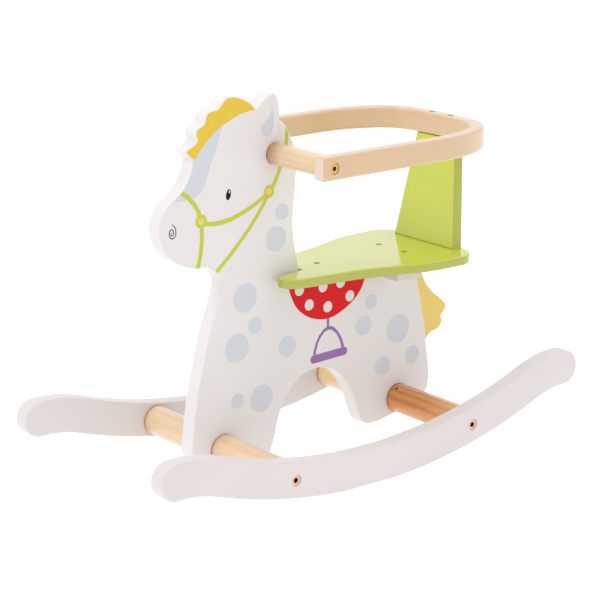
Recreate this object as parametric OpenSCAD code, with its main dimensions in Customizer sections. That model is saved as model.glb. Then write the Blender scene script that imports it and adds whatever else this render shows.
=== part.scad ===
// Toddler's rocking horse: a flat horse board between two curved rockers,
// with a seat, a backrest, a hand grip and a bent-wood guard rail.
// X is the width (the horse's left side is +X), the horse faces -Y, Z is up.
// The origin is on the floor, midway between the tips of the rockers.

/* [Rockers] */
// Width over the outer faces of both rockers
track_w = 300; // [260:1:340]
// Thickness of each rocker board
rocker_t = 22; // [18:0.5:24]
// Height of the rocker board, measured square to its curve
rocker_h = 43.5; // [40:0.5:46]
// Radius of the running edge
rocker_r = 720; // [710:1:740]
// Place along the length of the lowest part of the running edge
rocker_touch_y = -15; // [-20:1:0]
// Length of the flat under it, on which the horse comes to rest
rest_l = 76; // [70:1:84]
// Angle from the touching point to where the front end turns level
front_turn = 18.6; // [18:0.1:19]
// Angle from the touching point to where the rear end turns level
rear_turn = 21.9; // [21.5:0.1:22.3]
// Mid-line radius of the front end's reverse bend
front_bend_r = 165; // [160:1:170]
// Mid-line radius of the rear end's reverse bend
rear_bend_r = 143; // [138:1:148]
// Angle by which the front tip dips past the top of its bend
front_dip = 2.9; // [0:0.1:4]

/* [Horse board] */
// Thickness of the horse board
body_t = 22; // [18:0.5:24]

/* [Crossbars] */
// Diameter of both crossbars
crossbar_d = 36.5; // [32:0.5:36.5]
// Front crossbar, place along the length
front_bar_y = -132.8; // [-136:0.1:-129]
// Front crossbar, height of its axis
front_bar_z = 30.8; // [30.5:0.1:32]
// Rear crossbar, place along the length
rear_bar_y = 142.3; // [139:0.1:146]
// Rear crossbar, height of its axis
rear_bar_z = 39.4; // [39:0.1:40]
// Distance of the stop pins from the faces of the horse board
pin_off = 9; // [6:0.5:14]
// Diameter of the stop pins
pin_d = 4; // [3:0.5:5]
// Length of the stop pins
pin_l = 24; // [16:1:30]
// Angle of the front bar's pins above the forward direction
front_pin_angle = -58; // [-80:1:-40]
// Angle of the rear bar's pins above the forward direction
rear_pin_angle = 58; // [40:1:80]

/* [Hand grip] */
// Diameter of the handle bar
handle_d = 26; // [22:0.5:27]
// Handle bar, place along the length
handle_y = -54; // [-58:0.5:-50]
// Handle bar, height of its axis
handle_z = 379; // [376:0.5:382]

/* [Guard rail] */
// Width over the outer faces of the arms
rail_w = 243; // [236:1:250]
// Thickness of the bent-wood strip
rail_t = 18; // [16:0.5:20]
// Height of the bent-wood strip
rail_h = 27.5; // [25:0.5:30]
// Front end of the arms
rail_front_y = -70.5; // [-80:0.5:-70]
// Rearmost point of the rail
rail_rear_y = 229; // [227:0.5:231]
// Place along the length where the straight arms begin to curve
rail_straight_y = 115; // [105:1:120]
// Outer radius of the gentle curve at each side
rail_side_r = 160; // [150:5:175]
// Outer radius of the two rear corners
rail_corner_r = 66; // [60:1:72]
// Outer radius of the gentle curve across the rear
rail_back_r = 450; // [400:10:520]
// Distance of the two rail screws from the middle
rail_screw_x = 17; // [12:0.5:22]
// Distance of the two rail screws behind the middle of the backrest's top
rail_screw_back = 2; // [1.5:0.25:2.5]

/* [Seat] */
// Height of the seat's upper face
seat_z = 232.5; // [231:0.5:234]
// Thickness of the seat board
seat_t = 12; // [11:0.5:13]
// Rear edge of the seat board
seat_rear_y = 208.5; // [207.5:0.5:212]
// Radius of the two rear corners of the seat
seat_corner_r = 30; // [24:0.5:34]
// Distance of the two rear seat screws from the middle
seat_screw_x = 23.5; // [22:0.5:25]
// Rear seat screws, place along the length
seat_screw_y = 138.5; // [130:0.5:150]
// Front seat screw, place along the length
front_screw_y = 19; // [10:1:30]

/* [Seat cleats] */
// Width of each cleat, out from the face of the horse board
cleat_w = 25; // [24:0.5:30]
// Height of each cleat
cleat_h = 21; // [20:0.5:25]
// Front end of the cleats
cleat_front_y = 118; // [110:1:122]
// Length of each cleat
cleat_l = 40; // [38:1:48]
// Diameter of the wooden dowels through the board and both cleats
dowel_d = 8; // [6:0.5:8]
// Depth that each dowel reaches into a cleat
dowel_in = 12; // [8:0.5:18]
// Distance of the two dowels from the ends of the cleats
dowel_inset = 8; // [7:0.5:10]

/* [Backrest] */
// Thickness of the backrest board, measured along the length
back_t = 14.5; // [13.5:0.5:16]
// Width of the backrest at the seat
back_bottom_w = 111; // [104:1:118]
// Width of the backrest under the rail
back_top_w = 71; // [64:1:80]
// Front face of the backrest, at the seat
back_bottom_y = 192; // [190:0.5:193]
// Front face of the backrest, under the rail
back_top_y = 210; // [208.5:0.5:211]
// Distance of the two screws from below from the middle
back_screw_x = 30; // [20:0.5:40]

/* [Rocker bolts] */
// Diameter of the bolt heads
rocker_head_d = 13; // [12:0.5:14]
// Height of the bolt heads
rocker_head_h = 8; // [6:0.5:8]
// Diameter of the threads
rocker_shank_d = 8; // [6:0.5:8]
// Length under the head
rocker_shank_l = 32; // [28:1:36]
// Width of the hexagon socket across its flats
rocker_hex = 6; // [5:0.5:6.5]
// Outer diameter of the threaded inserts
rocker_insert_d = 12; // [11.5:0.5:13]
// Length of the threaded inserts
rocker_insert_l = 20; // [16:1:24]

/* [Rail bolts] */
// Diameter of the bolt heads
rail_head_d = 12.5; // [11:0.5:13]
// Height of the bolt heads
rail_head_h = 5; // [4:0.5:6]
// Diameter of the threads
rail_shank_d = 6; // [5:0.5:6]
// Length under the head
rail_shank_l = 30; // [26:1:34]
// Width of the hexagon socket across its flats
rail_hex = 5; // [4:0.5:5.5]
// Outer diameter of the threaded inserts
rail_insert_d = 9.5; // [9:0.5:11]
// Length of the threaded inserts
rail_insert_l = 16; // [12:1:20]

/* [Wood screws] */
// Diameter of the screw heads
screw_head_d = 8; // [7:0.5:8.5]
// Height of the cone under the screw heads
screw_head_h = 3.5; // [3:0.5:4]
// Diameter of the screw shanks
screw_d = 4; // [3.5:0.5:4.5]
// Length of the seat screws
seat_screw_l = 28; // [22:1:29]
// Length of the screws from under the seat into the backrest
back_screw_l = 40; // [30:1:44]
// Length of the screws from the rail into the backrest
rail_screw_l = 42; // [36:1:46]
// Depth of the screw heads below the face of the wood
screw_sink = 1.5; // [1:0.25:2]

/* [Fits] */
// Gap around each bar where it passes through the horse board
bar_gap = 0.2; // [0.1:0.05:0.4]
// Gap around bolt shanks, screw shanks, pins and inserts
shank_gap = 0.15; // [0.1:0.05:0.3]
// Gap around the bolt heads in their recesses
head_gap = 0.5; // [0.3:0.1:0.8]
// Depth of the bolt heads below the face of the wood
bolt_sink = 1; // [0.5:0.25:1.5]
// Gap between the neck and the sides of the seat slot
slot_gap = 2.5; // [1.5:0.5:3]

/* [Hidden] */
$fn = 64;
// Steps between two chosen points of a smooth stretch
smooth_steps = 5;
// Distance that the middle of an arc's facet may lie inside the true circle
arc_error = 0.03;
// Overshoot of a cutting shape past the face that it cuts
cut = 1;

rocker_inner_x = track_w / 2 - rocker_t;
rocker_mid_r = rocker_r - rocker_h / 2;
up = 90;
down = 270;
rest_angle = asin(rest_l / 2 / rocker_r);
rocker_centre = [rocker_touch_y, rocker_r * cos(rest_angle)];
front_bend = rocker_centre + polar(rocker_mid_r + front_bend_r, down - front_turn);
rear_bend = rocker_centre + polar(rocker_mid_r + rear_bend_r, down + rear_turn);
front_tip = front_bend + polar(front_bend_r, up + front_dip);
rear_tip = rear_bend + polar(rear_bend_r, up);
bar_places = [[front_bar_y, front_bar_z], [rear_bar_y, rear_bar_z]];
rail_inner_x = rail_w / 2 - rail_t;
// The rail's rear corner is an arc that runs smoothly into the side's arc and
// into the arc across the rear: its centre lies where two circles meet.
rail_side_c = [rail_w / 2 - rail_side_r, rail_straight_y];
rail_back_c = [0, rail_rear_y - rail_back_r];
rail_corner_c = meet(rail_side_c, rail_side_r - rail_corner_r,
    rail_back_c, rail_back_r - rail_corner_r);
rail_turn_a = direction(rail_side_c, rail_corner_c);
rail_turn_b = direction(rail_back_c, rail_corner_c);
rail_bottom_z = handle_z - rail_h / 2;
seat_bottom_z = seat_z - seat_t;
back_mid_y = back_bottom_y + back_t / 2;
rail_screw_y = back_top_y + back_t / 2 + rail_screw_back;
seat_screw_places = [[0, front_screw_y], [seat_screw_x, seat_screw_y], [-seat_screw_x, seat_screw_y]];

// The outline of the horse, as [place along the length, height], stretch by
// stretch: each stretch is smooth and the next starts at a corner.
neck_back = [[-16.5, seat_bottom_z], [-19.5, 243], [-24.2, 266], [-26.5, 290], [-25.6, 312],
    [-23, 334], [-21.3, 356], [-22, 378], [-26, 388], [-32, 401], [-39, 412], [-46, 418]];
ear = [[-46, 418], [-47, 434], [-50, 445.5], [-55.5, 450.6], [-68, 445.5], [-81, 434.5]];
forelock = [[-81, 434.5], [-90, 443.3], [-103.5, 450.5], [-118, 453.3], [-127, 450.3],
    [-136, 441.5], [-149, 439], [-153.5, 433], [-156, 426], [-166, 420.5], [-167.5, 414],
    [-165.8, 408.5], [-169.5, 404], [-177.5, 400.2]];
fringe = [[-177.5, 400.2], [-181.3, 397.6], [-180.8, 394.4], [-172, 386]];
face = [[-172, 386], [-174.3, 374.5], [-180.5, 362.5], [-188.2, 352.3], [-204, 340], [-213.4, 331],
    [-219.5, 319], [-220.8, 308], [-216.8, 293], [-208.6, 278.5], [-197.4, 269.7],
    [-183, 262], [-167, 257.5], [-153, 257.2]];
chest = [[-153, 257.2], [-144, 251], [-136.3, 244], [-133.3, 236.5], [-134.2, 226], [-138.7, 211],
    [-151.2, 176], [-162, 136], [-170.6, 99], [-176.8, 57], [-178.4, 32], [-172, 23], [-158, 18.5]];
front_foot = [[-158, 18.5], [-133, 11.3], [-104, 7], [-80, 6], [-67.5, 6.5]];
belly = [[-67.5, 6.5], [-61.5, 12], [-56.3, 26], [-49.2, 52], [-40, 72.6], [-27.6, 87.7],
    [-11, 99.5], [7, 103.5], [24, 101.5], [40, 94], [56, 78], [68, 57.5], [76, 37], [82, 22],
    [91, 14.8], [103, 13.4], [113, 14.5], [124, 16.5], [134, 18.2], [144, 19.6], [156, 23],
    [168, 27.3], [185, 34.2], [193, 42.3], [195.8, 56], [194.8, 72], [191.3, 94], [189.4, 107]];
tail = [[189.4, 107], [198.5, 114.5], [210.5, 117.5], [216.8, 126.5], [214.8, 133.5]];
tail_tip = [[214.8, 133.5], [218.5, 137.5], [223.3, 143.5], [221.5, 149.5], [211.5, 159], [203, 165.3],
    [193.7, 174.6], [187.2, 183.4], [177.6, 203.5], [172.5, seat_bottom_z]];
horse_stretches = [neck_back, ear, forelock, fringe, face, chest, front_foot, belly, tail, tail_tip];

// Half of the seat's outline, as [out from the middle, place along the length],
// from the inner end of the neck slot round the front lobe to the rear corner.
slot_end_y = -14;
slot_x = body_t / 2 + slot_gap;
seat_side = [[slot_x, slot_end_y], [slot_x + 0.5, -28], [slot_x + 2.5, -42], [slot_x + 6, -53],
    [23, -60], [32, -60.5], [41, -55], [47, -45], [49.5, -31], [52, -8], [55.5, 22], [59, 43],
    [65.5, 69], [74, 94], [81.5, 117], [85.5, 142], [86.5, 164], [86.5, seat_rear_y - seat_corner_r]];
seat_half_w = seat_side[len(seat_side) - 1][0];

function polar(r, a) = [r * cos(a), r * sin(a)];

function direction(a, b) = atan2(b[1] - a[1], b[0] - a[0]);

// Where the circle about a meets the circle about b, on the left of a to b.
function meet(a, ra, b, rb) =
    let (d = norm(b - a), along = (ra * ra - rb * rb + d * d) / (2 * d))
    a + polar(ra, direction(a, b) + acos(along / ra));

// Points of an arc about a centre, from one angle to another.
function arc(c, r, a0, a1) =
    let (n = ceil(abs(a1 - a0) / (2 * acos(1 - arc_error / r))))
    [for (i = [0 : n]) c + polar(r, a0 + (a1 - a0) * i / n)];

// A point on a smooth curve between b and c, with a and d as its neighbours.
function between(a, b, c, d, t) =
    (2 * b + (c - a) * t + (2 * a - 5 * b + 4 * c - d) * t * t
        + (3 * b - a - 3 * c + d) * t * t * t) / 2;

// The points of a smooth stretch through the chosen points, without the last.
function smooth(p) =
    let (last = len(p) - 1)
    [for (i = [0 : last - 1], s = [0 : smooth_steps - 1])
        between(p[max(i - 1, 0)], p[i], p[i + 1], p[min(i + 2, last)], s / smooth_steps)];

function reversed(p) = [for (i = [len(p) - 1 : -1 : 0]) p[i]];

// The other half of an outline, in the order that carries it on.
function mirrored(p) = [for (q = reversed(p)) [-q[0], q[1]]];

module rocker_outline() {
    half = rocker_h / 2;
    polygon(concat(
        arc(rocker_centre, rocker_r, down - front_turn, down - rest_angle),
        arc(rocker_centre, rocker_r, down + rest_angle, down + rear_turn),
        arc(rear_bend, rear_bend_r - half, up + rear_turn, up),
        arc(rear_tip, half, -up, up),
        arc(rear_bend, rear_bend_r + half, up, up + rear_turn),
        arc(rocker_centre, rocker_r - rocker_h, down + rear_turn, down - front_turn),
        arc(front_bend, front_bend_r + half, up - front_turn, up + front_dip),
        arc(front_tip, half, up + front_dip, down + front_dip),
        arc(front_bend, front_bend_r - half, up + front_dip, up - front_turn)));
}

// One side of the rail's outline, set in from the outer face by a distance.
function rail_side(inset) =
    concat([[rail_w / 2 - inset, rail_front_y]],
        arc(rail_side_c, rail_side_r - inset, 0, rail_turn_a),
        arc(rail_corner_c, rail_corner_r - inset, rail_turn_a, rail_turn_b),
        arc(rail_back_c, rail_back_r - inset, rail_turn_b, up));

module rail_outline() {
    outer = rail_side(0);
    inner = reversed(rail_side(rail_t));
    polygon(concat(outer, mirrored(outer), mirrored(inner), inner));
}

module seat_outline() {
    half = concat(smooth(seat_side),
        arc([seat_half_w - seat_corner_r, seat_rear_y - seat_corner_r], seat_corner_r, 0, 90));
    polygon(concat(half, mirrored(half)));
}

// Draws an outline of [length, height] points as a board that starts at x.
module board(x, t) {
    translate([x, 0, 0]) rotate([90, 0, 90]) linear_extrude(t) children();
}

// A round bar along X between two places.
module bar(x0, x1, d, place) {
    translate([x0, place[0], place[1]]) rotate([0, 90, 0]) cylinder(d = d, h = x1 - x0);
}

// The space that one socket-head bolt and its insert need, from the outer
// face at x inwards. The insert starts at insert_x.
module bolt_space(x, place, head_d, head_h, shank_d, shank_l) {
    floor_x = x - bolt_sink - head_h;
    bar(floor_x, x + cut, head_d + 2 * head_gap, place);
    bar(floor_x - shank_l - cut, x, shank_d + 2 * shank_gap, place);
}

module socket_bolt(x, place, head_d, head_h, shank_d, shank_l, hex) {
    floor_x = x - bolt_sink - head_h;
    difference() {
        union() {
            bar(floor_x, floor_x + head_h, head_d, place);
            bar(floor_x - shank_l, floor_x, shank_d, place);
        }
        translate([floor_x + head_h / 2, place[0], place[1]])
            rotate([0, 90, 0]) cylinder(d = hex / cos(30), h = head_h, $fn = 6);
    }
}

module insert(x, place, d, l, shank_d) {
    difference() {
        bar(x - l, x, d, place);
        bar(x - l - cut, x + cut, shank_d + 2 * shank_gap, place);
    }
}

// Countersunk wood screw, pointing down from the face of the wood at z.
module wood_screw(x, y, z, l) {
    top = z - screw_sink;
    translate([x, y, top]) difference() {
        union() {
            translate([0, 0, -screw_head_h])
                cylinder(d1 = screw_d, d2 = screw_head_d, h = screw_head_h);
            translate([0, 0, screw_d - l]) cylinder(d = screw_d, h = l - screw_d);
            translate([0, 0, -l]) cylinder(d1 = screw_d / 4, d2 = screw_d, h = screw_d);
        }
        for (a = [0, 90])
            rotate(a) translate([-screw_head_d / 4, -0.5, -screw_head_h / 2])
                cube([screw_head_d / 2, 1, screw_head_h]);
    }
}

// The countersunk hole for one wood screw, with its pilot bore.
module screw_space(x, y, z, l) {
    wide = screw_head_d + 2 * shank_gap;
    translate([x, y, z - screw_sink]) {
        cylinder(d = wide, h = screw_sink + cut);
        translate([0, 0, -screw_head_h])
            cylinder(d1 = screw_d + 2 * shank_gap, d2 = wide, h = screw_head_h);
        translate([0, 0, -l - cut]) cylinder(d = screw_d + 2 * shank_gap, h = l);
    }
}

// Both sides of the horse alike.
module both_sides() {
    children();
    mirror([1, 0, 0]) children();
}

module seat_screw_spaces() {
    for (p = seat_screw_places) screw_space(p[0], p[1], seat_z, seat_screw_l);
}

// The backrest's screws point up, from under the seat.
module upward(z) {
    translate([0, 0, 2 * z]) mirror([0, 0, 1]) children();
}

module backrest_screw_spaces() {
    upward(seat_bottom_z)
        for (s = [-1, 1])
            screw_space(s * back_screw_x, back_mid_y, seat_bottom_z, back_screw_l);
}

module rail_screw_spaces() {
    for (s = [-1, 1])
        screw_space(s * rail_screw_x, rail_screw_y, rail_bottom_z + rail_h, rail_screw_l);
}

// A stop pin across a crossbar, with its outer end just under the bar's skin.
module stop_pin(place, angle, d, l, out) {
    translate([body_t / 2 + pin_off, place[0], place[1]])
        rotate([90 - angle, 0, 0])
            translate([0, 0, crossbar_d / 2 - bolt_sink - l]) cylinder(d = d, h = l + out);
}

module cleat_dowel_set(gap) {
    for (y = [cleat_front_y + dowel_inset, cleat_front_y + cleat_l - dowel_inset])
        bar(-body_t / 2 - dowel_in - gap, body_t / 2 + dowel_in + gap, dowel_d + 2 * gap,
            [y, seat_bottom_z - cleat_h / 2]);
}

module horse_body() {
    color("whitesmoke") difference() {
        board(-body_t / 2, body_t) polygon([for (s = horse_stretches) each smooth(s)]);
        for (p = bar_places)
            bar(-body_t, body_t, crossbar_d + 2 * bar_gap, p);
        bar(-body_t, body_t, handle_d + 2 * bar_gap, [handle_y, handle_z]);
        seat_screw_spaces();
        cleat_dowel_set(shank_gap);
    }
}

module rocker() {
    difference() {
        board(rocker_inner_x, rocker_t) rocker_outline();
        for (p = bar_places)
            bolt_space(track_w / 2, p, rocker_head_d, rocker_head_h, rocker_shank_d, rocker_shank_l);
    }
}

module left_rocker() {
    color("whitesmoke") rocker();
}

module right_rocker() {
    color("whitesmoke") mirror([1, 0, 0]) rocker();
}

module crossbar(place, pin_angle) {
    insert_l = rocker_insert_l;
    difference() {
        bar(-rocker_inner_x, rocker_inner_x, crossbar_d, place);
        both_sides() {
            bar(rocker_inner_x - insert_l, rocker_inner_x + cut,
                rocker_insert_d + 2 * shank_gap, place);
            bolt_space(track_w / 2, place, rocker_head_d, rocker_head_h, rocker_shank_d,
                rocker_shank_l);
            stop_pin(place, pin_angle, pin_d + 2 * shank_gap, pin_l, crossbar_d / 2);
        }
    }
}

module front_crossbar() {
    color("burlywood") crossbar(bar_places[0], front_pin_angle);
}

module rear_crossbar() {
    color("peru") crossbar(bar_places[1], rear_pin_angle);
}

module handle_bar() {
    place = [handle_y, handle_z];
    color("burlywood") difference() {
        bar(-rail_inner_x, rail_inner_x, handle_d, place);
        both_sides() {
            bar(rail_inner_x - rail_insert_l, rail_inner_x + cut,
                rail_insert_d + 2 * shank_gap, place);
            bolt_space(rail_w / 2, place, rail_head_d, rail_head_h, rail_shank_d, rail_shank_l);
        }
    }
}

module guard_rail() {
    color("burlywood") difference() {
        translate([0, 0, rail_bottom_z]) linear_extrude(rail_h) rail_outline();
        both_sides()
            bolt_space(rail_w / 2, [handle_y, handle_z], rail_head_d, rail_head_h, rail_shank_d,
                rail_shank_l);
        rail_screw_spaces();
    }
}

module backrest() {
    height = rail_bottom_z - seat_z;
    color("yellowgreen") difference() {
        intersection() {
            board(-track_w / 2, track_w) polygon([[back_bottom_y, seat_z],
                [back_bottom_y + back_t, seat_z], [back_top_y + back_t, rail_bottom_z],
                [back_top_y, rail_bottom_z]]);
            translate([0, rail_rear_y + back_t, seat_z]) rotate([90, 0, 0])
                linear_extrude(rail_rear_y) polygon([[-back_bottom_w / 2, 0],
                    [back_bottom_w / 2, 0], [back_top_w / 2, height], [-back_top_w / 2, height]]);
        }
        backrest_screw_spaces();
        rail_screw_spaces();
    }
}

module seat_board() {
    color("yellowgreen") difference() {
        translate([0, 0, seat_bottom_z]) linear_extrude(seat_t) seat_outline();
        seat_screw_spaces();
        backrest_screw_spaces();
    }
}

module cleat() {
    difference() {
        translate([body_t / 2, cleat_front_y, seat_bottom_z - cleat_h])
            cube([cleat_w, cleat_l, cleat_h]);
        seat_screw_spaces();
        cleat_dowel_set(shank_gap);
    }
}

module left_seat_cleat() {
    color("whitesmoke") cleat();
}

module right_seat_cleat() {
    color("whitesmoke") mirror([1, 0, 0]) cleat();
}

module cleat_dowels() {
    color("burlywood") cleat_dowel_set(0);
}

module rocker_bolts() {
    color("peru") both_sides() for (p = bar_places)
        socket_bolt(track_w / 2, p, rocker_head_d, rocker_head_h, rocker_shank_d, rocker_shank_l,
            rocker_hex);
}

module rocker_inserts() {
    color("goldenrod") both_sides() for (p = bar_places)
        insert(rocker_inner_x, p, rocker_insert_d, rocker_insert_l, rocker_shank_d);
}

module rail_bolts() {
    color("goldenrod") both_sides()
        socket_bolt(rail_w / 2, [handle_y, handle_z], rail_head_d, rail_head_h, rail_shank_d,
            rail_shank_l, rail_hex);
}

module rail_inserts() {
    color("goldenrod") both_sides()
        insert(rail_inner_x, [handle_y, handle_z], rail_insert_d, rail_insert_l, rail_shank_d);
}

module seat_screws() {
    color("silver")
        for (p = seat_screw_places) wood_screw(p[0], p[1], seat_z, seat_screw_l);
}

module backrest_screws() {
    color("silver") upward(seat_bottom_z)
        for (s = [-1, 1])
            wood_screw(s * back_screw_x, back_mid_y, seat_bottom_z, back_screw_l);
}

module rail_screws() {
    color("silver")
        for (s = [-1, 1])
            wood_screw(s * rail_screw_x, rail_screw_y, rail_bottom_z + rail_h, rail_screw_l);
}

module crossbar_pins() {
    color("dimgray") both_sides() {
        stop_pin(bar_places[0], front_pin_angle, pin_d, pin_l, 0);
        stop_pin(bar_places[1], rear_pin_angle, pin_d, pin_l, 0);
    }
}

horse_body();
left_rocker();
right_rocker();
front_crossbar();
rear_crossbar();
handle_bar();
guard_rail();
backrest();
seat_board();
left_seat_cleat();
right_seat_cleat();
cleat_dowels();
rocker_bolts();
rocker_inserts();
rail_bolts();
rail_inserts();
seat_screws();
backrest_screws();
rail_screws();
crossbar_pins();
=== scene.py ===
"""Dresses a toddler's rocking horse: painted boards, varnished wood, plated bolts and the print."""

import math

import bmesh
import bpy
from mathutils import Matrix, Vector
from mathutils.geometry import intersect_line_line_2d


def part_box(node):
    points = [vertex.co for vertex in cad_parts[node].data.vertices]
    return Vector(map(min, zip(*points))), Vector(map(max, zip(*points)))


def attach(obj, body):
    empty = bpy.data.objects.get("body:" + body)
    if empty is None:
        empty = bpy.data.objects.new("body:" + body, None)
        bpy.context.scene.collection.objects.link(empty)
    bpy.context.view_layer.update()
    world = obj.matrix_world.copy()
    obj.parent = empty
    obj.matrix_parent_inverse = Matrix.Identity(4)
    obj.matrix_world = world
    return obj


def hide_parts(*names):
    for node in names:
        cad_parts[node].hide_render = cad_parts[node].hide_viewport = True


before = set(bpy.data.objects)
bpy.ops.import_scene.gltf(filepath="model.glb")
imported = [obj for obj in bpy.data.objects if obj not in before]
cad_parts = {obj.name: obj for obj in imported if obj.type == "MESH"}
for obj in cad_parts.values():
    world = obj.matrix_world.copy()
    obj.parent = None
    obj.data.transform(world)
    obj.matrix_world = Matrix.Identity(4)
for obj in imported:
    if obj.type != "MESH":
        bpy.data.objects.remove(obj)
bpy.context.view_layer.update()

bl_info = {
    "name": "Rocking Horse",
    "version": (1, 0, 0),
    "blender": (4, 5, 0),
    "location": "3D View > Sidebar > Horse",
    "description": "Builds the painted and varnished pieces of a toddler's rocking horse",
    "category": "Add Mesh",
}

# Millimetres in a metre, because the paint is laid out in millimetres
MM = 1000.0

# Least length that the panel takes, in metres
LEAST_LENGTH = 0.0002
# Points nearer to each other than this, in metres, are one
SAME_PLACE = 0.000002
# Points nearer than this to the level of a face, in metres, lie in it
SAME_LEVEL = 0.00001
# Least cosine between two directions that count as one
PARALLEL = 0.9999
# Of two opposite directions, the forward one has a part over this along an axis
FORWARD = 0.5
# Most by which the angles of a flat side's triangles differ
FLAT = math.radians(0.1)
# Least angle of a sharp corner in an outline
CORNER = math.radians(60)
# Least angle between two faces at which the shading breaks
CREASE = math.radians(32)
# Most corners in a loop that an outline makes with itself when it moves inwards
LARGEST_LOOP = 8
# Least cosine of half the turn at a corner, so that a sharp corner doesn't move far inwards
SHARPEST = 0.5
# Width of the flat ring inside each rounded rim, which keeps the shading of the wide faces level
LIP = 0.0005
# How much the large faces outweigh the small ones in the shading that they share, out of 100
FACE_WEIGHT = 60

# Distance from the middle of the horse board at which its print starts, in millimetres
PRINT_DEPTH = 10.85
# How far the painted shade at a joint darkens a bar, in millimetres
JOINT_SHADE_REACH = 5.0
# How far it darkens the handle bar beside the board, in millimetres
HANDLE_SHADE_REACH = 27.0
# How quickly it fades, as a power
JOINT_SHADE_FALL = 1.15
# How far the end grain reaches into the rail's strip, in millimetres
END_DEPTH = 0.5
# How far below its top a bolt's head is painted dark as its socket's shade, in millimetres
SOCKET_SHADE_DEPTH = 0.8
# Part of a green board's rounded edge that keeps the colour of its face
FACE_PART = 0.6
# Vertices of the backrest this near to its highest, in metres, are on its top
TOP_BAND = 0.0001
# Part of the rear bar's near half that keeps the board's painted shade, without painted light
BOARD_SHADE_PART = 0.6

# Noise, as its waves per millimetre along three axes. The first axis of wood is its grain
BOARD_CLOUDS = (0.008, 0.008, 0.008)
PAINT_CLOUDS = (0.01, 0.01, 0.01)
ORANGE_PEEL = (0.25, 0.25, 0.25)
TURNING = (6.0, 6.0, 6.0)
SWAY = (0.006, 0.02, 0.02)
FIBRES = (0.02, 0.9, 0.9)
PORES = (0.09, 2.4, 2.4)
# Depths of the relief, in metres
PEEL_DEPTH = 0.00004
WOOD_DEPTH = 0.00005
TURNING_DEPTH = 0.00001
# The two shades of a colour between which its noise varies, as factors
BOARD_SHADES = (0.985, 1.012)
PAINT_SHADES = (0.98, 1.015)
METAL_SHADES = (0.92, 1.05)
# The shade of the fold in the ear, as a factor, and how strongly it shows
FOLD_SHADE = 0.95
FOLD_STRENGTH = 0.5
# How widely the noise spreads the roughness of metal and of varnish
METAL_SPREAD = 0.16
VARNISH_SPREAD = 0.12
VARNISH_ROUGHNESS = 0.3
# Index of refraction of paint and of varnish
PAINT_IOR = 1.47
VARNISH_IOR = 1.5

# The middle of the trunk that wood comes from, as (depth, height) in millimetres
PITH = (-31.0, -12.0)
# How far the rings sway, in millimetres, and how far they drift to a millimetre of grain
PITH_SWAY = 9.0
RING_DRIFT = 0.004
# How narrow the dark late wood of a ring is, as a power
LATE_WOOD = 2.2
# Shares of the fibres and the pores in the darkness of wood, and what is taken off it
FIBRE_TONE = 0.75
PORE_TONE = 0.28
TONE_CUT = 0.28
# Shares of the fibres and the pores in the relief of wood
FIBRE_RELIEF = 0.25
PORE_RELIEF = -0.6
# How sharply the pores stand out of their noise, and where they start, times that
PORE_GAIN = 6.0
PORE_START = 3.7

# How far the floor reaches each way, in metres
FLOOR_REACH = 6.0
# The floor's grey, and the strength of its light for the camera, which together look white
FLOOR_GREY = 0.5
FLOOR_SEEN = 0.72
# Lamps, as (place, width) in metres, under the names that their powers have in the panel
LAMPS = {"key": ((-0.6, -1.5, 1.9), 1.1), "top": ((0.5, 0.3, 2.4), 1.4)}
LAMP_TARGET = (0.0, 0.0, 0.2)
CAMERA_PLACE = (1.9686, -1.5901, 0.8957)
# The camera's turns about X and about Z, in degrees
CAMERA_TURNS = (74.507, 51.306)
# Width of the camera's sensor and focal length of its lens, in millimetres
SENSOR = 36.0
LENS = 131.83

# The printed horse, on both faces of the board, in millimetres.
# Lines that run lengthwise, as (place along the length, height)
MANE_LINE = [(-190, 379), (-176, 383.5), (-170, 386.5), (-162, 395.4), (-155, 402.6),
             (-148, 409.2), (-140.5, 414.7), (-133.5, 419.4), (-126, 422.8), (-119, 426),
             (-112, 428.7), (-104.5, 431.2), (-97.5, 432.7), (-90, 433.6), (-81, 434.4)]
MANE_REAR = -81.3
# Lines that run upwards, as (height, place along the length)
TAIL_LINE = [(100, 189.2), (108, 188.7), (115, 187.7), (130, 185.6), (146, 181.9), (163, 178.2),
             (180, 174.4), (191, 172.5), (205, 170.2), (222, 168)]
TAIL_FOOT = 106.0
BLAZE_LINE = [(340.2, -250), (340.5, -200), (340.8, -184), (341.2, -176), (344, -166),
              (351, -158.6), (362.8, -152.6), (379.7, -146.4), (392.2, -140.4), (405, -135.8),
              (413.7, -132.4), (421, -128.8), (430, -126)]
# The lower edge of the saddle cloth, and its dots, as (place along the length, height)
CLOTH_LINE = [(-60, 300), (-37, 234), (-35, 220), (-32.6, 209.2), (-29, 199.4), (-21.7, 186.2),
              (-11.8, 176.4), (2, 168.4), (16, 164.2), (31, 163.6), (47, 168), (64.5, 177),
              (76.5, 187.2), (83.5, 197.6), (87.5, 209), (89.5, 222), (110, 300)]
CLOTH_TOP = 222.0
CLOTH_DOTS = [(-1.6, 185.6), (27.4, 178.3), (62.5, 186), (-16.8, 206.6), (19.9, 204.8),
              (47.6, 205.6)]
DOT_RADIUS = 6.9
# Dapples, as (place along the length, height, radius)
DAPPLES = [(-43.4, 307.4, 10.2), (-52.6, 276, 15.5), (-99.1, 211.4, 17.8), (-84.5, 175, 10.8),
           (-111.5, 151.7, 17.8), (-35.3, 139.7, 13.3), (-111.3, 86.4, 9.6), (-75.2, 82.1, 17.1),
           (96.7, 172.9, 9.7), (84.8, 144.2, 13), (141.8, 129.9, 18.7), (166.1, 91.1, 12),
           (116.8, 85.5, 12.6)]
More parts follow.
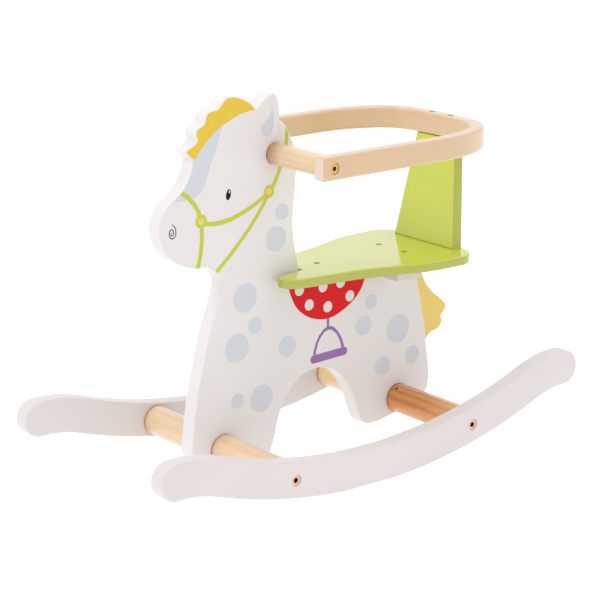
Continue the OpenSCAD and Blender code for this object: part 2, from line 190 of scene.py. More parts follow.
# Strokes, as (place along the length, height, half width)
EAR_PATCH = [(-57.6, 434, 0.6), (-57.5, 427, 2.0), (-59.6, 419.5, 4.4), (-62.8, 413.8, 7.0),
             (-65.2, 409.9, 8.9)]
EAR_FOLD = [(-45.6, 413, 0.5), (-46.6, 406, 0.6), (-49.6, 399.5, 0.7), (-53.4, 395.2, 0.7),
            (-59, 391.6, 0.4)]
NOSEBAND = [(-191, 352.2, 2.9), (-179.5, 344, 2.9), (-171.4, 335, 2.9), (-165.2, 325.1, 2.8),
            (-162, 313, 2.8)]
CHIN_STRAP = [(-162, 313, 2.9), (-160.9, 303.9, 2.9), (-160.9, 290.8, 2.9), (-163.1, 273.4, 2.9),
              (-168.5, 254, 2.9)]
CHEEK_STRAP = [(-162, 312, 2.5), (-154.1, 309.2, 2.6), (-145.9, 307.8, 2.7), (-132.1, 307.8, 2.9),
               (-118.3, 309.7, 2.9), (-104.3, 313.9, 2.8), (-90.2, 319.3, 2.7), (-78.9, 324.7, 2.6),
               (-62.6, 333.6, 2.5)]
HEADSTALL = [(-62.6, 333.6, 2.8), (-56.1, 341.6, 2.8), (-51.2, 350, 2.7), (-45.6, 361.5, 2.6),
             (-40.9, 372.5, 2.6), (-37.5, 384.6, 2.7), (-36, 397.1, 2.7), (-35.2, 409, 2.7)]
REIN = [(-62.6, 333.6, 2.5), (-71.9, 319.5, 2.6), (-80.9, 307.4, 2.6), (-91.8, 295, 2.6),
        (-103.1, 283.2, 2.6), (-120.7, 266.3, 2.6), (-139, 251, 2.7)]
# Rings of the bridle, as (place along the length, height, radius)
RINGS = [(-161.6, 313.4, 8.2), (-62.6, 334.8, 7.8)]
RING_CORES = [(-161.6, 313.4, 4.3), (-62.6, 334.8, 4.1)]
# Ovals, as (place along the length, height, half width, half height, turn in degrees)
EYE = (-122.1, 339.3, 3.5, 6.5, -12.0)
EYE_GLINT = (-120.7, 342.4, 0.8, 1.6, -12.0)
# More strokes
NOSTRIL = [(-202.9, 315.7, 0.4), (-199.6, 313.2, 0.55), (-197.6, 309.2, 0.62),
           (-197.3, 304.2, 0.62), (-199.4, 300, 0.62), (-202.7, 298.8, 0.62),
           (-205.6, 300.8, 0.62), (-206.9, 304.6, 0.62), (-206, 308.4, 0.62),
           (-203.5, 310.1, 0.62), (-201.2, 308.6, 0.62), (-200.4, 305.4, 0.62),
           (-201.6, 302.8, 0.55), (-203.6, 302.4, 0.55), (-204.8, 304.6, 0.55),
           (-203.4, 306.2, 0.5)]
STIRRUP_STRAP = [(27.8, 166, 2.0), (27.9, 151, 2.0)]
STIRRUP_ARCH = [(6.6, 117, 2.1), (7.2, 125, 2.0), (10.2, 134.5, 1.9), (15.4, 143.2, 1.9),
                (22, 149.2, 2.1), (28.6, 151.4, 2.4), (35.4, 149.8, 2.2), (42, 143.6, 2.0),
                (47.3, 135.6, 2.0), (50.8, 126.5, 2.1), (52, 118, 2.2)]
STIRRUP_TREAD = [(5.6, 115.3, 5.3), (53.6, 117.2, 5.3)]


def colour(words, code):
    """A colour property that holds a display colour, written as six hexadecimal digits."""
    channels = [int(code[i:i + 2], 16) / 255 for i in (0, 2, 4)]
    return bpy.props.FloatVectorProperty(
        name=words, description=f"Colour of {words.lower()}", subtype="COLOR_GAMMA", size=3,
        default=channels, min=0.0, max=1.0)


def length(words, millimetres, top):
    """A length property, kept in metres, with its default and its limit in millimetres."""
    return bpy.props.FloatProperty(
        name=words, description=f"{words}, in metres", default=millimetres / MM,
        min=LEAST_LENGTH, max=top / MM, unit="LENGTH", precision=4)


def brightness(words, description, default, top, unit="NONE"):
    """A property for the strength of a light."""
    return bpy.props.FloatProperty(
        name=words, description=description, default=default, min=0.0, max=top, unit=unit)


class HorseEdges(bpy.types.PropertyGroup):
    """Roundings of the boards' edges."""
    horse_board: length("Rounding of the horse board's edges", 1.6, 3)
    rocker: length("Rounding of the rockers' edges", 2.2, 4)
    seat: length("Rounding of the seat's and backrest's edges", 2.0, 4)
    rail: length("Rounding of the guard rail's edges", 3.4, 3.6)
    cleat: length("Rounding of the cleats' edges", 1.0, 2)


class HorseColours(bpy.types.PropertyGroup):
    """Display colours of the paints, woods and metals."""
    board: colour("The horse board's white", "E8E4E3")
    # The rockers' white is the board's white painted darker, as shade against the fuller light on
    # them
    rocker: colour("The rockers' white", "E2DBDA")
    mane: colour("The mane", "E8C648")
    tail: colour("The tail", "EFD27A")
    dapple: colour("The dapples", "D2D6DD")
    bridle: colour("The bridle", "C5CC4C")
    ring: colour("The bridle's ring centres", "E9D07A")
    cloth: colour("The saddle cloth", "DC1A20")
    stirrup: colour("The stirrup", "9B72AC")
    ink: colour("The eye and nostril", "140B09")
    green: colour("The seat and backrest", "CBD348")
    green_edge: colour("The seat's and backrest's edges", "B4B64C")
    rail: colour("The guard rail's birch", "DDBB94")
    rail_grain: colour("The guard rail's grain", "D1AA7F")
    end_grain: colour("The guard rail's end grain", "E6D2C6")
    birch: colour("The birch bars", "EACCA6")
    birch_grain: colour("The birch bars' grain", "D8B084")
    # Painted shade and warm bounce light, darker and more orange, where the bars meet the board and
    # rockers
    birch_joint_shade: colour("Birch, where the varnish is thick", "B8733C")
    # The pine colour is the rear bar's painted shade beside the board; the paler pine is painted
    # light
    pine: colour("Pine", "E3943A")
    pine_grain: colour("Pine grain", "A8560F")
    pine_in_light: colour("Pine sapwood", "F0CC9C")
    copper: colour("Copper plating", "DFBBA6")
    brass: colour("Brass", "D8B468")
    # Painted shade: the dark colour in the bolts' hex sockets stands in for the shade inside them
    socket: colour("The sockets in the bolts", "7A4E2E")
    steel: colour("Steel", "B4B4B2")
    # Painted shade: the pins are dark to stand in for the shade of the holes they sit in
    pin: colour("The stop pins", "5C3018")


class HorseStudio(bpy.types.PropertyGroup):
    """Light of the studio."""
    floor: brightness("Floor", "Strength of the light from the floor", 0.67, FLOOR_SEEN)
    sky: brightness("Sky", "Strength of the even light from all sides", 0.82, 2.0)
    key: brightness("Key", "Power of the large lamp high in front", 11.0, 200.0, "POWER")
    top: brightness("Top", "Power of the large lamp overhead", 10.5, 200.0, "POWER")


def linear(value):
    """Scene colour of a display colour."""
    return [v / 12.92 if v <= 0.04045 else ((v + 0.055) / 1.055) ** 2.4 for v in value]


def shade(value, factor):
    """A display colour made lighter or darker by a factor."""
    return [min(1.0, v * factor) for v in value]


class Wire:
    """A number in a shader tree. Python's operators on it add Math nodes."""

    def __init__(self, paint, socket):
        self.paint = paint
        self.socket = socket

    def __add__(self, other):
        return self.paint.math("ADD", self, other)

    def __sub__(self, other):
        return self.paint.math("SUBTRACT", self, other)

    def __rsub__(self, other):
        return self.paint.math("SUBTRACT", other, self)

    def __mul__(self, other):
        return self.paint.math("MULTIPLY", self, other)

    def __truediv__(self, other):
        return self.paint.math("DIVIDE", self, other)

    def __gt__(self, other):
        return self.paint.step(self - other)

    def __lt__(self, other):
        return self.paint.step(other - self)

    def __abs__(self):
        return self.paint.math("ABSOLUTE", self)

    __radd__ = __add__
    __rmul__ = __mul__


class Paint:
    """One material, with its Principled shader and the means to add to its tree."""

    def __init__(self, name, **surface):
        self.material = bpy.data.materials.new(name)
        self.material.use_nodes = True
        self.tree = self.material.node_tree
        self.shader = self.tree.nodes["Principled BSDF"]
        for socket, value in surface.items():
            self.set(socket.replace("_", " "), value)

    def set(self, socket, value):
        """Gives one of the shader's sockets a plain value or the result of other nodes."""
        self.join(self.shader.inputs[socket], value)

    def join(self, socket, value):
        """Gives a socket a plain value or the result of other nodes."""
        if isinstance(value, Wire):
            self.tree.links.new(value.socket, socket)
        else:
            socket.default_value = value

    def node(self, kind, sockets=(), output=0, **settings):
        """Adds a node: its settings, then its sockets' values or wires, by name or number."""
        node = self.tree.nodes.new(kind)
        for name, value in settings.items():
            if name == "points":
                curve = node.mapping.curves[0]
                for n, place in enumerate(value):
                    if n < 2:
                        curve.points[n].location = place
                    else:
                        curve.points.new(*place)
                node.mapping.update()
            else:
                setattr(node, name, value)
        for socket, value in dict(sockets).items():
            self.join(node.inputs[socket], value)
        return Wire(self, node.outputs[output])

    def math(self, operation, a, b=0.0, c=0.0):
        return self.node("ShaderNodeMath", {0: a, 1: b, 2: c}, operation=operation)

    def scaled(self, value, factor, offset):
        """The value times a factor, plus an offset, in one node."""
        return self.math("MULTIPLY_ADD", value, factor, offset)

    def clamp(self, value):
        """The value, held between 0 and 1."""
        return self.node("ShaderNodeClamp", {0: value, 1: 0.0, 2: 1.0})

    def vector(self, operation, *values, output=0, **more):
        """Vector maths. Output 0 is a vector, and output 1 is a number."""
        sockets = dict(enumerate(values))
        sockets.update(more)
        return self.node("ShaderNodeVectorMath", sockets, output, operation=operation)

    def step(self, distance, blur=0.25):
        """1 where the distance is above zero and 0 below it, with an edge as wide as the blur."""
        return self.clamp(self.scaled(distance, 1.0 / blur, 0.5))

    def most(self, *masks):
        """The largest of several masks."""
        found = masks[0]
        for mask in masks[1:]:
            found = self.math("MAXIMUM", found, mask)
        return found

    def mix(self, factor, a, b):
        """Colour a where the factor is 0 and b where it is 1. Plain colours are display colours."""
        sides = [v if isinstance(v, Wire) else (*linear(v), 1.0) for v in (a, b)]
        return self.node("ShaderNodeMix", {0: factor, 6: sides[0], 7: sides[1]}, 2,
                         data_type="RGBA")

    def varied(self, mask, value, shades):
        """A display colour that varies between two shades of itself."""
        return self.mix(mask, shade(value, shades[0]), shade(value, shades[1]))

    def noise(self, place, waves, detail=2.0, rough=0.5):
        """Noise over a place in millimetres, with its waves per millimetre along each axis."""
        point = self.place(*[at * wave for at, wave in zip(place, waves)])
        return self.node("ShaderNodeTexNoise", {
            "Vector": point, "Scale": 1.0, "Detail": detail, "Roughness": rough})

    def place(self, x, y, z=0.0):
        return self.node("ShaderNodeCombineXYZ", {0: x, 1: y, 2: z})

    def axes(self, source=None):
        """The three coordinates of a point of the piece, or of a source, in millimetres."""
        if source is None:
            source = self.node("ShaderNodeTexCoord", output="Object")
        parts = self.tree.nodes.new("ShaderNodeSeparateXYZ")
        self.join(parts.inputs[0], source)
        return [Wire(self, parts.outputs[n]) * MM for n in range(3)]

    def curve(self, value, points):
        """The height, over a value, of a smooth curve through points that run from low to high."""
        low_x, high_x = points[0][0], points[-1][0]
        low_y = min(p[1] for p in points)
        high_y = max(p[1] for p in points)
        unit = [((x - low_x) / (high_x - low_x), (y - low_y) / (high_y - low_y))
                for x, y in points]
        at = self.clamp(self.scaled(value, 1 / (high_x - low_x), -low_x / (high_x - low_x)))
        found = self.node("ShaderNodeFloatCurve", {"Value": at},
                          points=[unit[0], unit[-1], *unit[1:-1]])
        return found * (high_y - low_y) + low_y

    def bump(self, height, distance):
        self.set("Normal", self.node("ShaderNodeBump", {"Height": height, "Distance": distance}))


class Print:
    """Flat shapes on the faces of a board, as masks in its plane, in millimetres."""

    def __init__(self, paint, along, high):
        self.paint = paint
        self.along = along
        self.high = high
        self.point = paint.place(along, high)

    def spots(self, places):
        """Round spots, each with its place and its radius."""
        insides = []
        for along, high, radius in places:
            away = self.paint.vector("DISTANCE", self.point, (along, high, 0.0), output=1)
            insides.append(radius - away)
        return self.paint.step(self.paint.most(*insides))

    def oval(self, along, high, half_along, half_high, turn):
        """An upright ellipse, turned about its centre by an angle in degrees."""
        c, s = math.cos(math.radians(turn)), math.sin(math.radians(turn))
        a, h = self.along - along, self.high - high
        place = self.paint.place((a * c + h * s) / half_along, (h * c - a * s) / half_high)
        away = self.paint.vector("LENGTH", place, output=1)
        return self.paint.step((1.0 - away) * half_along)

    def stroke(self, points):
        """A line through points, each with the half width that the line has there."""
        insides = []
        for (a0, h0, w0), (a1, h1, w1) in zip(points, points[1:]):
            run = Vector((a1 - a0, h1 - h0, 0.0))
            back = self.paint.vector("SUBTRACT", self.point, (a0, h0, 0.0))
            part = self.paint.clamp(self.paint.vector(
                "DOT_PRODUCT", back, tuple(run / run.length_squared), output=1))
            gone = self.paint.vector("SCALE", tuple(-run), Scale=part)
            off = self.paint.vector("ADD", back, gone)
            away = self.paint.vector("LENGTH", off, output=1)
            insides.append(part * (w1 - w0) + w0 - away)
        return self.paint.step(self.paint.most(*insides))


def horse_paint(colours):
    """White paint with the printed horse on both faces of the board; its edges stay white."""
    paint = Paint("horse paint", Roughness=0.34, IOR=PAINT_IOR, Specular_IOR_Level=0.15)
    place = across, along, high = paint.axes()
    art = Print(paint, along, high)
    face = abs(across) > PRINT_DEPTH
    white = paint.varied(paint.noise(place, BOARD_CLOUDS, detail=1.0), colours.board, BOARD_SHADES)
    blaze = along < paint.curve(high, BLAZE_LINE)
    mane = (high > paint.curve(along, MANE_LINE)) * (along < MANE_REAR)
    tail = (along > paint.curve(high, TAIL_LINE)) * (high > TAIL_FOOT)
    cloth = (high > paint.curve(along, CLOTH_LINE)) * (high < CLOTH_TOP)
    dots = art.spots([(*dot, DOT_RADIUS) for dot in CLOTH_DOTS])
    straps = [art.stroke(s) for s in (NOSEBAND, CHIN_STRAP, CHEEK_STRAP, HEADSTALL, REIN)]
    # From the lowest layer to the highest
    layers = (
        (art.spots(DAPPLES), colours.dapple),
        (blaze, colours.dapple),
        (art.stroke(EAR_PATCH), colours.dapple),
        (art.stroke(EAR_FOLD) * FOLD_STRENGTH, shade(colours.dapple, FOLD_SHADE)),
        (mane, colours.mane),
        (tail, colours.tail),
        (art.stroke(STIRRUP_STRAP), colours.stirrup),
        (cloth, colours.cloth),
        (dots * cloth, white),
        (paint.most(art.stroke(STIRRUP_ARCH), art.stroke(STIRRUP_TREAD)), colours.stirrup),
        (paint.most(art.spots(RINGS), *straps), colours.bridle),
        (art.spots(RING_CORES), colours.ring),
        (paint.most(art.oval(*EYE), art.stroke(NOSTRIL)), colours.ink),
        (art.oval(*EYE_GLINT), (1.0, 1.0, 1.0)),
    )
    printed = white
    for mask, above in layers:
        printed = paint.mix(mask, printed, above)
    paint.set("Base Color", paint.mix(face, white, printed))
    paint.bump(paint.noise(place, ORANGE_PEEL), PEEL_DEPTH)
    return paint.material


def plain_paint(name, colour_of, roughness, coat=0.0, edge=None):
    """Sprayed paint over a board, with a fine orange peel.

    The edge, if there is one, is its colour and the depth in millimetres of a point below the
    face beside it.
    """
    paint = Paint(name, Roughness=roughness, IOR=PAINT_IOR, Specular_IOR_Level=0.2,
                  Coat_Weight=coat, Coat_Roughness=0.04)
    place = paint.axes()
    tone = paint.varied(paint.noise(place, PAINT_CLOUDS, detail=1.0), colour_of, PAINT_SHADES)
    if edge:
        edge_colour, depth = edge
        tone = paint.mix(paint.step(depth(*place), blur=0.6), tone, edge_colour)
    paint.set("Base Color", tone)
    paint.bump(paint.noise(place, ORANGE_PEEL), PEEL_DEPTH)
    return paint.material


def varnished(name, light, dark, rings, contrast, patches, grain=Paint.axes):
    """Clear-varnished wood: growth rings, fine fibres and short pores along the grain.

    Rings is how many radians of them there are to a millimetre, and contrast is how dark they are.
    Each patch is a colour and a function that masks it by the place along the grain. The grain
    gives (place along it, depth, height), and runs along X unless it is given.
    """
    paint = Paint(name, IOR=VARNISH_IOR, Coat_Weight=1.0, Coat_Roughness=0.25)
    place = along, deep, high = grain(paint)
    sway = paint.noise(place, SWAY)
    from_pith = paint.place((deep - PITH[0]) + sway * PITH_SWAY, high - PITH[1])
    radius = paint.vector("LENGTH", from_pith, output=1)
    wave = paint.math("SINE", radius * rings + along * RING_DRIFT)
    # The wave runs from -1 to 1, and the year from 0 to 1
    year = paint.scaled(wave, 0.5, 0.5)
    late = paint.math("POWER", year, LATE_WOOD)
    fibre = paint.noise(place, FIBRES, detail=4.0, rough=0.65)
    pore = paint.clamp(paint.scaled(paint.noise(place, PORES), PORE_GAIN, -PORE_START))
    tone = paint.clamp(late * contrast + fibre * FIBRE_TONE + pore * PORE_TONE - TONE_CUT)
    wood = paint.mix(tone, light, dark)
    for patch_colour, masked in patches:
        wood = paint.mix(masked(paint, along), wood, patch_colour)
    paint.set("Base Color", wood)
    paint.set("Roughness", fibre * VARNISH_SPREAD + (VARNISH_ROUGHNESS - VARNISH_SPREAD / 2))
    paint.bump(pore * PORE_RELIEF + fibre * FIBRE_RELIEF, WOOD_DEPTH)
    return paint.material


def along_strip(paint):
    """Grain that follows the guard rail's strip round its bends."""
    return paint.axes(paint.node("ShaderNodeAttribute", output="Vector", attribute_name="grain",
                                 attribute_type="GEOMETRY"))


def metal(name, colour_of, roughness, socket=None):
    """Plated metal with fine turning marks.

    The socket, if there is one, is the colour of the painted shade in the heads' sockets and the
    distance in millimetres from the middle of the horse to the level under which the heads take it.
    """
    paint = Paint(name, Metallic=1.0)
    place = paint.axes()
    marks = paint.noise(place, TURNING, detail=3.0)
    tone = paint.varied(marks, colour_of, METAL_SHADES)
    if socket:
        dark, level = socket
        # Painted shade in the sockets, below the level
        tone = paint.mix(paint.step(level - abs(place[0]), blur=0.3), tone, dark)
    paint.set("Base Color", tone)
    paint.set("Roughness", marks * METAL_SPREAD + (roughness - METAL_SPREAD / 2))
    paint.bump(marks, TURNING_DEPTH)
    return paint.material


def shaded_board_white(colours):
    """The white paint that the rockers and the cleats share, painted a little darker than the
    board's as shade, made when it is first asked for.
    """
    made = bpy.data.materials.get("rocker white")
    return made or plain_paint("rocker white", colours.rocker, roughness=0.32)


def paint_node(node, material):
    """Gives a CAD node, whose shape stays, a material."""
    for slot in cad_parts[node].material_slots:
        slot.material = material


def longest_outline(edges):
    """The vertices along the longest closed loop of boundary edges."""
    ahead = {}
    for edge in edges:
        loop = edge.link_loops[0]
        ahead[loop.link_loop_next.vert] = loop.vert
    loops = []
    while ahead:
        vert = next(iter(ahead))
        found = []
        while vert in ahead:
            found.append(vert)
            vert = ahead.pop(vert)
        loops.append(found)
    return max(loops, key=lambda verts: sum((a.co - b.co).length
                                            for a, b in zip(verts, verts[1:])))


def inward(places, up, reach):
    """For each corner of an outline, its way inwards: both its edges move in by one unit.

    Where the outline would cross itself at that reach, the corners of the small loop move to the
    crossing.
    """
    ways = []
    for before, place, after in zip(places[-1:] + places[:-1], places, places[1:] + places[:1]):
        first = up.cross((place - before).normalized())
        second = up.cross((after - place).normalized())
        middle = (first + second).normalized()
        ways.append(middle / max(SHARPEST, middle.dot(first)))
    moved = [place + way * reach for place, way in zip(places, ways)]
    count = len(moved)
    tilt = up.to_track_quat("Z", "Y")
    for span in range(min(LARGEST_LOOP, count // 3), 1, -1):
        for n in range(count):
            ends = [tilt.inverted() @ moved[k % count] for k in (n, n + 1, n + span, n + span + 1)]
            crossing = intersect_line_line_2d(*[end.xy for end in ends])
            if crossing:
                for k in range(n + 1, n + span + 1):
                    moved[k % count] = tilt @ Vector((*crossing, ends[0].z))
    return [(there - place) / reach for there, place in zip(moved, places)]


def ease_rim(shape, up, rounding, segments):
    """Rounds the outer edge of the flat face whose normal is up, and closes the face again."""
    top = max(v.co.dot(up) for v in shape.verts)
    flat = [f for f in shape.faces if f.normal.dot(up) > PARALLEL
            and all(abs(v.co.dot(up) - top) < SAME_LEVEL for v in f.verts)]
    bmesh.ops.delete(shape, geom=flat, context="FACES_ONLY")
    bmesh.ops.delete(shape, geom=[e for e in shape.edges if e.is_wire], context="EDGES")
    ring = longest_outline([e for e in shape.edges if e.is_boundary])
    first = [v.co.copy() for v in ring]
    ways = inward(first, up, rounding + LIP)
    for vert in ring:
        vert.co -= up * rounding
    turns = [math.pi / 2 * step / segments for step in range(1, segments + 1)]
    profile = [(rounding * (1 - math.cos(turn)), rounding * (math.sin(turn) - 1))
               for turn in turns]
    for inset, rise in [*profile, (rounding + LIP, 0.0)]:
        edges = [shape.edges.get((ring[n - 1], ring[n])) for n in range(len(ring))]
        grown = bmesh.ops.extrude_edge_only(shape, edges=edges)["geom"]
        held = set(ring)
        fresh = {e.other_vert(v): v for v in grown if isinstance(v, bmesh.types.BMVert)
                 for e in v.link_edges if e.other_vert(v) in held}
        ring = [fresh[vert] for vert in ring]
        for vert, place, way in zip(ring, first, ways):
            vert.co = place + way * inset + up * rise
    bmesh.ops.remove_doubles(shape, verts=ring, dist=SAME_PLACE)
    # Both faces are filled as seen from one side, which makes their triangles alike
    seen_from = up if max(up) > FORWARD else -up
    bmesh.ops.triangle_fill(shape, use_beauty=True, use_dissolve=False, normal=seen_from,
                            edges=[e for e in shape.edges if e.is_boundary])
    if any(e.is_boundary for e in shape.edges):
        raise RuntimeError("a flat face was left open")


def ease_corners(shape, up, rounding, segments):
    """Rounds the sharp corners where two narrow faces meet."""
    bmesh.ops.dissolve_limit(shape, angle_limit=FLAT, verts=shape.verts, edges=shape.edges)
    corners = [e for e in shape.edges if e.calc_face_angle(0.0) > CORNER
               and abs((e.verts[0].co - e.verts[1].co).normalized().dot(up)) > PARALLEL]
    bmesh.ops.bevel(shape, geom=corners, offset=rounding, offset_type="OFFSET", segments=segments,
                    profile=0.5, affect="EDGES", material=-1)


def widest_way(shape):
    """The normal of one of a board's two large flat faces."""
    def line(face):
        """The direction of a face's normal, the same for both sides of a board."""
        return tuple(round(abs(v), 3) for v in face.normal)

    areas = {}
    for face in shape.faces:
        areas[line(face)] = areas.get(line(face), 0.0) + face.calc_area()
    widest = max(areas, key=areas.get)
    return next(face.normal.copy() for face in shape.faces if line(face) == widest)


def eased(context, node, rounding, material, segments=4, corners=False, mark=None):
    """Replaces a CAD node by a copy whose two large flat faces have rounded rims.

    Corners says whether the outline's own corners are rounded too. The mark, if there is one, is a
    function of a point whose result the vertices keep as their place in the grain.
    """
    shape = bmesh.new()
    shape.from_mesh(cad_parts[node].data)
    bmesh.ops.remove_doubles(shape, verts=shape.verts, dist=SAME_PLACE)
    up = widest_way(shape)
    if corners:
        ease_corners(shape, up, rounding, segments)
    for side in (up, -up):
        ease_rim(shape, side, rounding, segments)
    bmesh.ops.recalc_face_normals(shape, faces=shape.faces)
    if mark:
        layer = shape.verts.layers.float_vector.new("grain")
        for vert in shape.verts:
            vert[layer] = mark(vert.co)
    for face in shape.faces:
        face.smooth = True
    for edge in shape.edges:
        edge.smooth = edge.calc_face_angle(0.0) < CREASE
    mesh = bpy.data.meshes.new(f"{node}_eased")
    shape.to_mesh(mesh)
    shape.free()
    # The CAD's own normals no longer fit the changed shape
    handed_in = mesh.attributes.get("custom_normal")
    if handed_in:
        mesh.attributes.remove(handed_in)
    mesh.materials.append(material)
    piece = bpy.data.objects.new(f"{node}_eased", mesh)
    context.scene.collection.objects.link(piece)
    level = piece.modifiers.new("flat faces", "WEIGHTED_NORMAL")
    level.keep_sharp = True
    level.weight = FACE_WEIGHT
    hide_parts(node)
    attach(piece, "root")


class HORSE_OT_board(bpy.types.Operator):
    """Makes the horse board with eased edges and the printed horse"""
    bl_idname = "horse.board"
    bl_label = "Horse Board"

    def execute(self, context):
        edges, colours = context.scene.horse_edges, context.scene.horse_colours
        eased(context, "horse_body", edges.horse_board, horse_paint(colours))
        return {"FINISHED"}


class HORSE_OT_rockers(bpy.types.Operator):
    """Makes both rockers with eased edges"""
    bl_idname = "horse.rockers"
    bl_label = "Rockers"

    def execute(self, context):
        edges, colours = context.scene.horse_edges, context.scene.horse_colours
        for node in ("left_rocker", "right_rocker"):
            eased(context, node, edges.rocker, shaded_board_white(colours))
        return {"FINISHED"}


class HORSE_OT_bars(bpy.types.Operator):
    """Varnishes both crossbars, the handle bar and the dowels"""
    bl_idname = "horse.bars"
    bl_label = "Bars"

    def execute(self, context):
        colours = context.scene.horse_colours
        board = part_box("horse_body")[1].x * MM
        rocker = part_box("left_rocker")[0].x * MM

        def shade_at_joints(reach):
            """Masks the painted shade at the joints, as far from the board as it reaches and near a
            rocker.
            """
            def masked(paint, along):
                from_board = (board + reach - abs(along)) / reach
                from_rocker = (abs(along) - rocker) / JOINT_SHADE_REACH + 1.0
                near = paint.clamp(paint.most(from_board, from_rocker))
                return paint.math("POWER", near, JOINT_SHADE_FALL)
            return masked

        def pine_in_light(paint, along):
            """Masks painted light on the far half, and fades it in a little at the near end; the
            middle keeps the painted shade of the board.
            """
            far = paint.clamp((0.0 - along - board) / board)
            near = paint.clamp((along - rocker * BOARD_SHADE_PART) / rocker)
            return paint.most(far, near)

        # Each bar, the rear one too in its grain colour, is painted darker at its joints as the
        # shade there
        for node, name, reach in (("front_crossbar", "birch bar", JOINT_SHADE_REACH),
                                  ("handle_bar", "birch handle", HANDLE_SHADE_REACH),
                                  ("cleat_dowels", "birch dowel", JOINT_SHADE_REACH)):
            paint_node(node, varnished(
                name, colours.birch, colours.birch_grain, rings=0.9, contrast=0.3,
                patches=[(colours.birch_joint_shade, shade_at_joints(reach))]))
        # The rear bar: pine, painted paler where the board casts no shade on it
        paint_node("rear_crossbar", varnished(
            "pine bar", colours.pine, colours.pine_grain, rings=0.75, contrast=0.5,
            patches=[(colours.pine_in_light, pine_in_light), (colours.pine_grain, shade_at_joints(JOINT_SHADE_REACH))]))
        return {"FINISHED"}


class HORSE_OT_rail(bpy.types.Operator):
    """Makes the bent-wood guard rail with rounded edges and grain that follows its bends"""
    bl_idname = "horse.rail"
    bl_label = "Guard Rail"

    def execute(self, context):
        edges, colours = context.scene.horse_edges, context.scene.horse_colours
        low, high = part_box("guard_rail")
        half_width = high.x
        bend = high.y - half_width

        def strip(point):
            """(distance along the strip, depth through it, height) of a point of the rail."""
            if point.y < bend:
                return Vector((point.y - bend, half_width - abs(point.x), point.z))
            turn = math.atan2(point.y - bend, abs(point.x))
            depth = half_width - math.hypot(point.x, point.y - bend)
            return Vector((turn * half_width, depth, point.z))

        def end_face(paint, along):
            """Masks the sawn ends of the strip."""
            return paint.step((low.y - bend) * MM + END_DEPTH - along, blur=0.6)

        birch = varnished("birch strip", colours.rail, colours.rail_grain, rings=0.9,
                          contrast=0.14, patches=[(colours.end_grain, end_face)],
                          grain=along_strip)
        eased(context, "guard_rail", edges.rail, birch, segments=5, corners=True,
              mark=strip)
        return {"FINISHED"}


class HORSE_OT_seat(bpy.types.Operator):
    """Makes the green seat board and backrest"""
    bl_idname = "horse.seat"
    bl_label = "Seat and Backrest"

    def execute(self, context):
        edges, colours = context.scene.horse_edges, context.scene.horse_colours
        seat_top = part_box("seat_board")[1].z
        foot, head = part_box("backrest")
        top_x = max(v.co.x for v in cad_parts["backrest"].data.vertices
                    if head.z - v.co.z < TOP_BAND)
        taper = (head.x - top_x) / (head.z - foot.z)

        def below_top(across, along, high):
            return (seat_top - edges.seat * FACE_PART) * MM - high

        def beside_front(across, along, high):
            half_width = (head.x - edges.seat * FACE_PART) * MM
            return abs(across) + (high - foot.z * MM) * taper - half_width

        for node, name, depth in (("seat_board", "seat lacquer", below_top),
                                  ("backrest", "backrest lacquer", beside_front)):
            lacquer = plain_paint(name, colours.green, roughness=0.16, coat=1.0,
                                  edge=(colours.green_edge, depth))
            eased(context, node, edges.seat, lacquer)
        return {"FINISHED"}


class HORSE_OT_cleats(bpy.types.Operator):
    """Makes both seat cleats"""
    bl_idname = "horse.cleats"
    bl_label = "Seat Cleats"

    def execute(self, context):
        edges, colours = context.scene.horse_edges, context.scene.horse_colours
        for node in ("left_seat_cleat", "right_seat_cleat"):
            eased(context, node, edges.cleat, shaded_board_white(colours))
        return {"FINISHED"}


class HORSE_OT_fasteners(bpy.types.Operator):
    """Plates the bolts, inserts, screws and pins"""
    bl_idname = "horse.fasteners"
    bl_label = "Fasteners"

    def execute(self, context):
        colours = context.scene.horse_colours
        for node, name, plating in (("rocker_bolts", "copper heads", colours.copper),
                                    ("rail_bolts", "brass heads", colours.brass)):
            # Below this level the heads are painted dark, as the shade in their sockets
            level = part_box(node)[1].x * MM - SOCKET_SHADE_DEPTH
            paint_node(node, metal(name, plating, roughness=0.28, socket=(colours.socket, level)))
        brass = metal("brass plate", colours.brass, roughness=0.28)
        for node in ("rocker_inserts", "rail_inserts"):
            paint_node(node, brass)
        steel = metal("zinc plate", colours.steel, roughness=0.36)
        for node in ("seat_screws", "backrest_screws", "rail_screws"):
            paint_node(node, steel)
        # The pins are painted dark as the shade of their holes
        paint_node("crossbar_pins", metal("burnt steel", colours.pin, roughness=0.5))
        return {"FINISHED"}


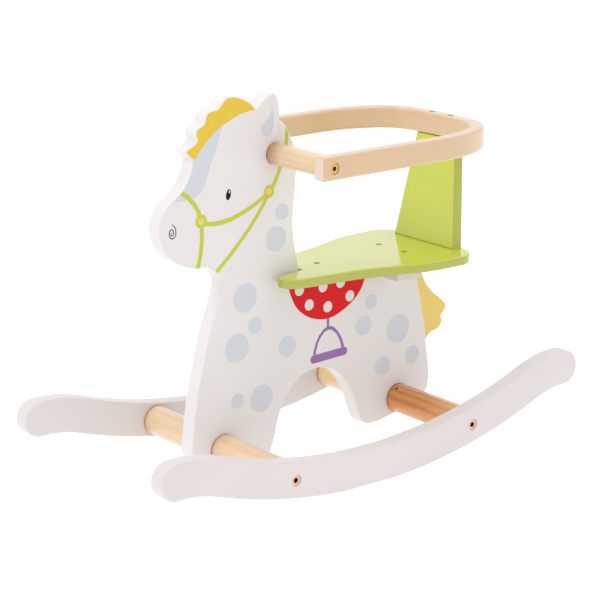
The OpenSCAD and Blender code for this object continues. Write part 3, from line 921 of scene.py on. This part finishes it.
class HORSE_OT_stage(bpy.types.Operator):
    """Sets the floor, the lamps, the sky and the camera"""
    bl_idname = "horse.stage"
    bl_label = "Stage"

    def floor(self, context, glow):
        """A floor that glows by so much, and that the camera sees as white."""
        shape = bmesh.new()
        bmesh.ops.create_grid(shape, x_segments=1, y_segments=1, size=FLOOR_REACH)
        mesh = bpy.data.meshes.new("floor")
        shape.to_mesh(mesh)
        shape.free()
        paint = Paint("studio floor", Roughness=0.9)
        seen = paint.node("ShaderNodeLightPath", output="Is Camera Ray")
        level = seen * (FLOOR_SEEN - glow) + glow
        paint.set("Base Color", (FLOOR_GREY, FLOOR_GREY, FLOOR_GREY, 1.0))
        paint.set("Emission Color",
                  paint.node("ShaderNodeCombineColor", {0: level, 1: level, 2: level}))
        paint.set("Emission Strength", 1.0)
        mesh.materials.append(paint.material)
        floor = bpy.data.objects.new("floor", mesh)
        context.scene.collection.objects.link(floor)

    def lamp(self, context, name, place, size, power):
        data = bpy.data.lights.new(name, "AREA")
        data.shape = "DISK"
        data.size = size
        data.energy = power
        lamp = bpy.data.objects.new(name, data)
        lamp.location = place
        way = Vector(LAMP_TARGET) - Vector(place)
        lamp.rotation_euler = way.to_track_quat("-Z", "Y").to_euler()
        context.scene.collection.objects.link(lamp)

    def sky(self, context, strength):
        """Even light from all sides, which the camera and the reflections see as white."""
        world = bpy.data.worlds.new("studio")
        world.use_nodes = True
        context.scene.world = world
        tree = world.node_tree
        even = tree.nodes["Background"]
        even.inputs["Color"].default_value = (1.0, 1.0, 1.0, 1.0)
        even.inputs["Strength"].default_value = strength
        white = tree.nodes.new("ShaderNodeBackground")
        white.inputs["Color"].default_value = (1.0, 1.0, 1.0, 1.0)
        path = tree.nodes.new("ShaderNodeLightPath")
        either = tree.nodes.new("ShaderNodeMath")
        either.operation = "MAXIMUM"
        tree.links.new(path.outputs["Is Camera Ray"], either.inputs[0])
        tree.links.new(path.outputs["Is Glossy Ray"], either.inputs[1])
        mix = tree.nodes.new("ShaderNodeMixShader")
        for n, result in enumerate((either, even, white)):
            tree.links.new(result.outputs[0], mix.inputs[n])
        tree.links.new(mix.outputs[0], tree.nodes["World Output"].inputs["Surface"])

    def camera(self, context):
        data = bpy.data.cameras.new("camera")
        data.sensor_width = SENSOR
        data.lens = LENS
        camera = bpy.data.objects.new("camera", data)
        camera.location = CAMERA_PLACE
        tilt, turn = CAMERA_TURNS
        camera.rotation_euler = (math.radians(tilt), 0.0, math.radians(turn))
        context.scene.collection.objects.link(camera)
        context.scene.camera = camera

    def execute(self, context):
        studio = context.scene.horse_studio
        context.scene.view_settings.view_transform = "Standard"
        self.floor(context, studio.floor)
        self.sky(context, studio.sky)
        for name, (place, size) in LAMPS.items():
            self.lamp(context, name, place, size, getattr(studio, name))
        self.camera(context)
        return {"FINISHED"}


PIECES = (HORSE_OT_board, HORSE_OT_rockers, HORSE_OT_bars, HORSE_OT_rail, HORSE_OT_seat,
          HORSE_OT_cleats, HORSE_OT_fasteners, HORSE_OT_stage)
GROUPS = {"horse_edges": HorseEdges, "horse_colours": HorseColours, "horse_studio": HorseStudio}


class HORSE_PT_pieces(bpy.types.Panel):
    """Lists the pieces, and the sizes and colours that they take"""
    bl_idname = "HORSE_PT_pieces"
    bl_label = "Rocking Horse"
    bl_space_type = "VIEW_3D"
    bl_region_type = "UI"
    bl_category = "Horse"

    def draw(self, context):
        for piece in PIECES:
            self.layout.operator(piece.bl_idname)
        for name in GROUPS:
            group = getattr(context.scene, name)
            column = self.layout.column(align=True)
            for setting in group.__annotations__:
                column.prop(group, setting)


def register():
    for name, group in GROUPS.items():
        bpy.utils.register_class(group)
        setattr(bpy.types.Scene, name, bpy.props.PointerProperty(type=group))
    for piece in (*PIECES, HORSE_PT_pieces):
        bpy.utils.register_class(piece)


def unregister():
    for piece in reversed((*PIECES, HORSE_PT_pieces)):
        bpy.utils.unregister_class(piece)
    for name, group in GROUPS.items():
        delattr(bpy.types.Scene, name)
        bpy.utils.unregister_class(group)


def main():
    register()
    for piece in PIECES:
        area, name = piece.bl_idname.split(".")
        getattr(getattr(bpy.ops, area), name)()


if __name__ == "__main__":
    main()
